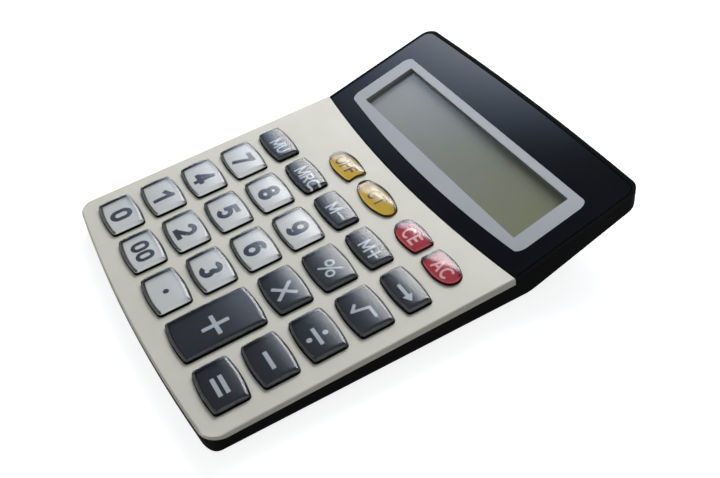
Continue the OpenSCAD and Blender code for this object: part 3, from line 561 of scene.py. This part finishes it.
def legendMesh(text, style):
    bm = bmesh.new()
    thick = style["thick"]
    scale = style["tall"] - thick
    x = 0
    lift = 0
    for letter in text:
        wide, parts = strokes[letter]
        for part in parts:
            addStroke(bm, part.split(), x, scale, thick, lift)
            lift += ink["step"]
        x += wide * scale + thick + style["gap"]
    x -= thick + style["gap"]
    bmesh.ops.translate(bm, vec=(-x / 2 + style["x"], -scale / 2 + style["y"], 0), verts=bm.verts)
    return bm


def joinInto(bm, other):
    mesh = bpy.data.meshes.new("joined")
    other.to_mesh(mesh)
    other.free()
    bm.from_mesh(mesh)
    bpy.data.meshes.remove(mesh)


def addLegend(bm, text, style, level):
    # lays the legend on the paint as a thin raised print
    legend = legendMesh(text, style)
    raised = newVerts(bmesh.ops.extrude_face_region(legend, geom=legend.faces[:]))
    bmesh.ops.translate(legend, verts=legend.verts, vec=(0, 0, level - ink["sunk"]))
    bmesh.ops.translate(legend, verts=raised, vec=(0, 0, ink["sunk"] + ink["thick"]))
    bmesh.ops.recalc_face_normals(legend, faces=legend.faces)
    for f in legend.faces:
        f.material_index = slots["print"]
    joinInto(bm, legend)


def addLip(bm, shape, width):
    # ring under the plate that keeps the key in its opening
    halfW = shape["w"] / 2 + core["lip"]
    halfH = shape["h"] / 2 + core["lip"]
    lip = bmesh.ops.create_grid(bm, x_segments=1, y_segments=1, size=1)["verts"]
    for v in lip:
        v.co = (v.co.x * halfW, v.co.y * halfH, core["lipLow"])
    plate = list({f for v in lip for f in v.link_faces})
    ring = bmesh.ops.inset_region(bm, faces=plate, thickness=width, depth=0)["faces"]
    bmesh.ops.delete(bm, geom=plate, context="FACES")
    extrudeFaces(bm, ring, core["lipTop"] - core["lipLow"])


def makeKey(node, shape, place, colour, text, style, slot):
    label = node.replace("key_", "")
    there = toDeck @ Matrix.Translation(place)
    shaped = "ridge" in style
    if shaped:
        top = domeHeight(shape, style["ridge"])
        aside, back = 0, 0
        rimWidth, inset, lipWidth = core["shapedRim"], core["shapedInset"], core["shapedLip"]
    else:
        top = crownHeight(shape)
        aside, back = core["aside"], core["back"]
        rimWidth, inset, lipWidth = core["rimWidth"], core["paintInset"], core["lipWidth"]
    clear = block(shape, top, cap["low"], cap["columns"], cap["rows"])
    finishPiece(clear, "cap_" + label, there, ["capClear"], node, "key_clear")

    # tray with a wide rim under the cap, hollow below, with the lip
    bm = block(drawnIn(shape, -core["proud"]), flat(core["rim"]), core["low"],
               core["columns"], core["rows"])
    upper = [f for f in bm.faces if f.normal.z > core["level"]]
    under = [f for f in bm.faces if f.normal.z < -core["level"]]
    bmesh.ops.inset_region(bm, faces=upper, thickness=rimWidth, depth=0)
    moveFaces(bm, upper, (aside, back, core["floor"] - core["rim"]))
    bmesh.ops.inset_region(bm, faces=under, thickness=core["wall"], depth=0)
    moveFaces(bm, under, (0, 0, core["roof"] - core["low"]))
    addLip(bm, shape, lipWidth)
    for f in bm.faces:
        f.material_index = slots["tray"]
    for f in upper:
        f.material_index = slots["trayFloor"]
    bmesh.ops.recalc_face_normals(bm, faces=bm.faces)

    # painted field with the legend, seen through the cap
    field = block(drawnIn(shape, inset), flat(core["paintTop"]), core["floor"] - core["sunk"],
                  core["columns"], core["rows"])
    bmesh.ops.translate(field, verts=field.verts, vec=(aside, back, 0))
    joinInto(bm, field)
    addLegend(bm, text, style, core["paintTop"])
    # the tray's floor, and on shaped keys its walls too, take a darker copy of the key's paint: painted
    # shade inside the key
    materials = [colour, paintedShades[colour] if shaped else "skirtBlack", style["ink"], paintedShades[colour]]
    corePiece = finishPiece(bm, "core_" + label, there, materials, node, slot)
    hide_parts(node)


# painted shade: each key paint's darker copy, for the walls and floor of the tray
paintedShades = {"coreGrey": "paintedShadeGrey", "coreCharcoal": "skirtBlack", "coreYellow": "paintedShadeYellow",
          "coreRed": "paintedShadeRed"}  # walls and floor of the tray
digit = {"tall": 9.7, "thick": 2.2, "gap": 0.7, "x": 0, "y": 0, "ink": "printSlate"}
pair = {"tall": 7.9, "thick": 1.8, "gap": 0.6, "x": 0, "y": 0, "ink": "printSlate"}
sign = {"tall": 8.3, "thick": 1.5, "gap": 0.6, "x": 0.5, "y": -0.4, "ink": "printPale"}
bars = {"tall": 9.1, "thick": 1.6, "gap": 0.6, "x": 0.1, "y": -0.3, "ink": "printPale"}
cross = {"tall": 11.2, "thick": 1.75, "gap": 0.6, "x": 0.3, "y": -0.2, "ink": "printPale"}
root = {"tall": 7.6, "thick": 1.25, "gap": 0.6, "x": 0.1, "y": -0.6, "ink": "printPale"}
percent = {"tall": 8.4, "thick": 0.95, "gap": 0.6, "x": 0.5, "y": 0.1, "ink": "printPale"}
memory = {"tall": 5.6, "thick": 0.95, "gap": 0.6, "x": 1.4, "y": 0, "ink": "printPale"}
arrow = {"tall": 7.2, "thick": 1.35, "gap": 0.6, "x": 1.7, "y": -0.8, "ink": "printPale"}
# the caps of these two are domed, so they have a ridge
yellowSign = {"tall": 5.2, "thick": 0.85, "gap": 0.5, "x": 0, "y": 0, "ink": "printGrey", "ridge": -1.0}
redSign = {"tall": 5.5, "thick": 0.95, "gap": 0.5, "x": 0.3, "y": -0.2, "ink": "printRose", "ridge": 0.5}

digits = [  # node, column, row, text
    ("key_0", 0, 0, "0"), ("key_00", 1, 0, "00"), ("key_point", 2, 0, "."),
    ("key_1", 0, 1, "1"), ("key_2", 1, 1, "2"), ("key_3", 2, 1, "3"),
    ("key_4", 0, 2, "4"), ("key_5", 1, 2, "5"), ("key_6", 2, 2, "6"),
    ("key_7", 0, 3, "7"), ("key_8", 1, 3, "8"), ("key_9", 2, 3, "9"),
]
signs = [  # node, column, row, text, style
    ("key_equals", 4, 0, "=", bars), ("key_minus", 4, 1, "-", bars), ("key_times", 3, 2, "x", sign),
    ("key_divide", 4, 2, "/", sign), ("key_percent", 3, 3, "%", percent), ("key_root", 4, 3, "r", root),
]
memories = [  # node, column, text, style
    ("key_mu", 0, "MU", memory), ("key_mrc", 1, "MRC", memory), ("key_m_minus", 2, "M-", memory),
    ("key_m_plus", 3, "M+", memory), ("key_arrow", 4, ">", arrow),
]
straight = (key["corner"], key["bow"])
domed = roundEnd(key["shapedH"])
pointed = (3.6, 1.9)  # corner and bow of both ends of the GT key
hollow = (17.9, 8.4)  # middle and radius of the circle that the OFF key's right end follows
shapedKeys = [  # node, x, outline, colour, text, style, slot
    ("key_off", -23.2, {"w": 20.6, "left": domed, "right": straight, "hollow": hollow},
     "coreYellow", "OFF", yellowSign, "key_yellow"),
    ("key_gt", 3.9, {"w": 25.6, "left": pointed, "right": pointed},
     "coreYellow", "GT", yellowSign, "key_yellow"),
    ("key_ce", 31.9, {"w": 18.6, "left": domed, "right": straight},
     "coreRed", "CE", redSign, "key_red"),
    ("key_ac", 54.5, {"w": 18.6, "left": straight, "right": domed},
     "coreRed", "AC", redSign, "key_red"),
]
middleColumn = 2
plusColumn = 3
lastRow = 3
memoryY = lastRow * key["row"] + key["memoryStep"]
shapedY = memoryY + key["shapedStep"]


def columnX(column):
    return (column - middleColumn) * key["column"]


def darkKey(node, x, y, h, text, style):
    makeKey(node, barrel(key["w"], h), (x, y, 0), "coreCharcoal", text, style, "key_charcoal")


for node, column, row, text in digits:
    style = pair if text == "00" else digit
    place = (columnX(column), row * key["row"], 0)
    makeKey(node, barrel(key["w"], key["h"]), place, "coreGrey", text, style, "key_grey")
for node, column, row, text, style in signs:
    darkKey(node, columnX(column), row * key["row"], key["h"], text, style)
# two rows tall
darkKey("key_plus", columnX(plusColumn), key["row"] / 2, key["h"] + key["row"], "+", cross)
for node, column, text, style in memories:
    darkKey(node, columnX(column), memoryY, key["memoryH"], text, style)
for node, x, outline, colour, text, style, slot in shapedKeys:
    makeKey(node, {"h": key["shapedH"], **outline}, (x, shapedY, 0), colour, text, style, slot)
print("keys made")


def studioPoint(azimuth, elevation, distance):
    # azimuth from the left side toward the rear
    a, e = math.radians(azimuth), math.radians(elevation)
    return Vector((-math.cos(a) * math.cos(e), math.sin(a) * math.cos(e), math.sin(e))) * distance


def facingObject(s):
    point = studioPoint(s["azimuth"], s["elevation"], s["distance"])
    return Matrix.Translation(point) @ (-point).to_track_quat("-Z", "Y").to_matrix().to_4x4()


def seenDirectly(tree):
    # 1 for rays from the camera, from gloss and through clear plastic
    path = addNode(tree, "ShaderNodeLightPath").outputs
    first = calc(tree, "MAXIMUM", path["Is Camera Ray"], path["Is Glossy Ray"])
    return calc(tree, "MAXIMUM", first, path["Is Transmission Ray"])


floorLook = {"half": 3.0, "cells": 8, "gap": 0.00002, "fill": 0.84, "clouds": 3, "detail": 2,
             "colours": [(0.3, (176, 176, 176)), (0.7, (180, 180, 180))],
             "inputs": {"Roughness": 0.9, "Specular IOR Level": 0.1, "Emission Color": (1, 1, 1, 1)}}


def addFloor():
    s = floorLook
    bm = bmesh.new()
    bmesh.ops.create_grid(bm, x_segments=s["cells"], y_segments=s["cells"], size=s["half"])
    bmesh.ops.translate(bm, verts=bm.verts, vec=(0, 0, -s["gap"]))
    floor = meshObject(bm, "floor")
    material, tree, shader = newMaterial("floorPale", s["inputs"])
    stops = [(place, srgb(*colour)) for place, colour in s["colours"]]
    clouds = noise(tree, s["clouds"], s["detail"])
    tree.links.new(ramp(tree, clouds, stops), shader.inputs["Base Color"])
    level = calc(tree, "MULTIPLY", seenDirectly(tree), s["fill"])
    tree.links.new(level, shader.inputs["Emission Strength"])
    # open to the eye from below
    side = addNode(tree, "ShaderNodeNewGeometry")
    clear = addNode(tree, "ShaderNodeBsdfTransparent")
    mixShaders(tree, side.outputs["Backfacing"], shader.outputs["BSDF"], clear.outputs["BSDF"])
    floor.data.materials.append(material)


ambient = {"Color": (0.92, 0.96, 1, 1), "Strength": 0.28}
background = {"Color": (1, 1, 1, 1), "Strength": 1.0}


def addWorld():
    world = bpy.data.worlds.new("studio")
    bpy.context.scene.world = world
    world.use_nodes = True
    tree = world.node_tree
    dim = tree.nodes["Background"]
    for socket, value in ambient.items():
        dim.inputs[socket].default_value = value
    white = addNode(tree, "ShaderNodeBackground", background)
    mixShaders(tree, seenDirectly(tree), dim.outputs["Background"], white.outputs["Background"],
               "World Output")


softbox = {"azimuth": 46, "elevation": 36, "distance": 1.3, "size": (1.9, 1.0), "soft": (0.8, 0.75),
           "power": 60, "lights": True}
# strip that shows only in gloss
strip = {"azimuth": 10, "elevation": 10, "distance": 1.4, "size": (1.6, 0.5), "soft": (0.4, 0.6),
         "power": 10, "lights": False}
lampTint = [(0.0, (0.45, 0.65, 1, 1)), (0.7, (1, 1, 1, 1))]  # from its edges to its middle


def addSoftbox(name, s):
    lamp = bpy.data.lights.new(name, "AREA")
    lamp.shape = "RECTANGLE"
    lamp.size, lamp.size_y = s["size"]
    lamp.energy = s["power"]
    lamp.use_nodes = True
    tree = lamp.node_tree
    # brightest in its middle, fading out toward all four edges
    surface = addNode(tree, "ShaderNodeNewGeometry")
    parts = addNode(tree, "ShaderNodeSeparateXYZ")
    tree.links.new(surface.outputs["Parametric"], parts.inputs["Vector"])
    fades = []
    for side, soft in zip(("X", "Y"), s["soft"]):
        away = calc(tree, "ABSOLUTE", calc(tree, "SUBTRACT", parts.outputs[side], 0.5))
        fade = addNode(tree, "ShaderNodeMapRange",
                       {"From Min": 0.5, "From Max": 0.5 - soft / 2, "To Min": 0.0, "To Max": 1.0},
                       interpolation_type="SMOOTHSTEP")
        tree.links.new(away, fade.inputs["Value"])
        fades.append(fade.outputs["Result"])
    both = calc(tree, "MULTIPLY", *fades)
    emission = tree.nodes["Emission"]
    tree.links.new(both, emission.inputs["Strength"])
    tree.links.new(ramp(tree, both, lampTint), emission.inputs["Color"])
    box = bpy.data.objects.new(name, lamp)
    box.matrix_world = facingObject(s)
    box.visible_diffuse = s["lights"]
    bpy.context.scene.collection.objects.link(box)


card = {"azimuth": 20, "elevation": 62, "distance": 1.9, "size": (2.8, 3.2), "cells": (6, 4),
        "low": 1.2, "high": 1.6, "bright": 0.42, "dim": 0.08,
        "look": ((40, 42, 48), (36, 38, 44), (0.8, 0.9), 20, 0.1, {"Emission Color": (0.8, 0.9, 1.2, 1)})}


def addCard():
    # dark card behind the softbox, seen only as a reflection
    columns, rows = card["cells"]
    bm = bmesh.new()
    bmesh.ops.create_grid(bm, x_segments=columns, y_segments=rows, size=0.5)
    place = facingObject(card) @ Matrix.Diagonal((*card["size"], 1, 1))
    bmesh.ops.transform(bm, matrix=place, verts=bm.verts)
    sheet = meshObject(bm, "card")
    material = plastic("cardDark", *card["look"])
    tree = material.node_tree
    level = mapped(tree, objectAxis(tree, "Z"), card["bright"], card["dim"], card["low"], card["high"])
    tree.links.new(level, tree.nodes["Principled BSDF"].inputs["Emission Strength"])
    sheet.data.materials.append(material)
    sheet.visible_camera = False
    sheet.visible_diffuse = False
    sheet.visible_shadow = False


view = {"place": (0.271314, -0.111751, 0.268411), "turn": (0.815172, 0.104784, 1.057985), "lens": 46.648,
        "sensor": 36, "nearest": 0.01}


def addCamera():
    data = bpy.data.cameras.new("camera")
    data.sensor_fit = "HORIZONTAL"
    data.sensor_width = view["sensor"]
    data.lens = view["lens"]
    data.clip_start = view["nearest"]
    camera = bpy.data.objects.new("camera", data)
    camera.location = view["place"]
    camera.rotation_euler = view["turn"]
    bpy.context.scene.collection.objects.link(camera)
    bpy.context.scene.camera = camera


addFloor()
addWorld()
addSoftbox("softbox", softbox)
addSoftbox("strip", strip)
addCard()
addCamera()
bpy.context.scene.view_settings.view_transform = "Standard"
print("studio set")
